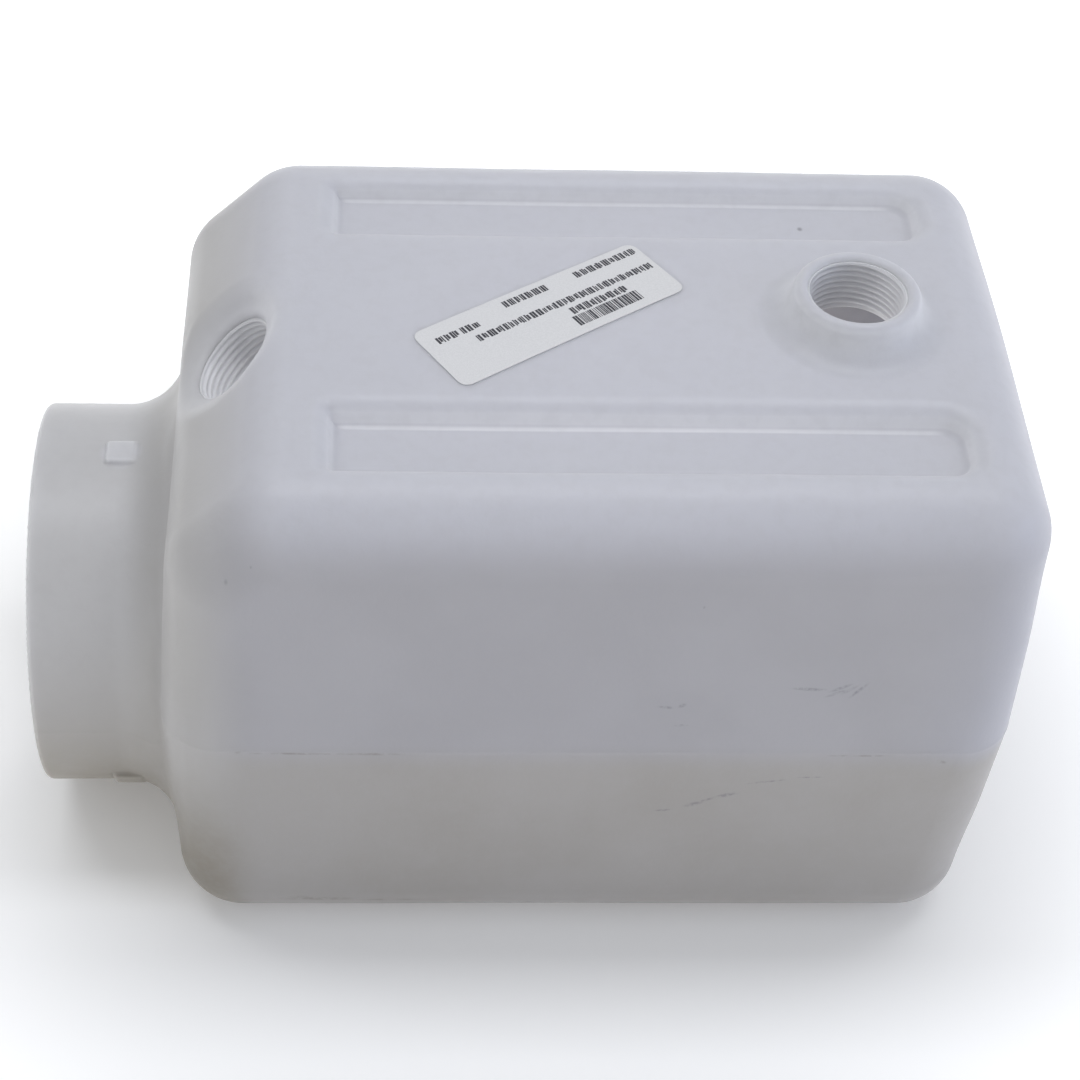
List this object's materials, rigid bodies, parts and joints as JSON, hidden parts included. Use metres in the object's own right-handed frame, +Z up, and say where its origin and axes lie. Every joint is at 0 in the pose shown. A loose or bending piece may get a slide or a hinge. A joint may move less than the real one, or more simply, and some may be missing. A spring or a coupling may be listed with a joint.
{
  "type": "plastic fluid reservoir tank",
  "caption": "Rectangular blow-moulded translucent fluid tank with a wide round neck at one end, a sloping shoulder, and threaded ports on the top and shoulder.",
  "frame": {"origin": "centre of the bounding box in X and Y, on the plane that the tank stands on", "axes": "+X from the neck to the closed base end, along the tank's length; +Z up, the way the top port opens"},
  "size_m": [0.2804, 0.1702, 0.1817],
  "materials": {
    "polyethylene": "satin",
    "insert": "satin",
    "paper": "matt"
  },
  "bodies": {
    "root": {"tank_shell": "polyethylene", "top_port_insert": "insert", "shoulder_port_insert": "insert", "label": "paper"}
  },
  "joints": []
}
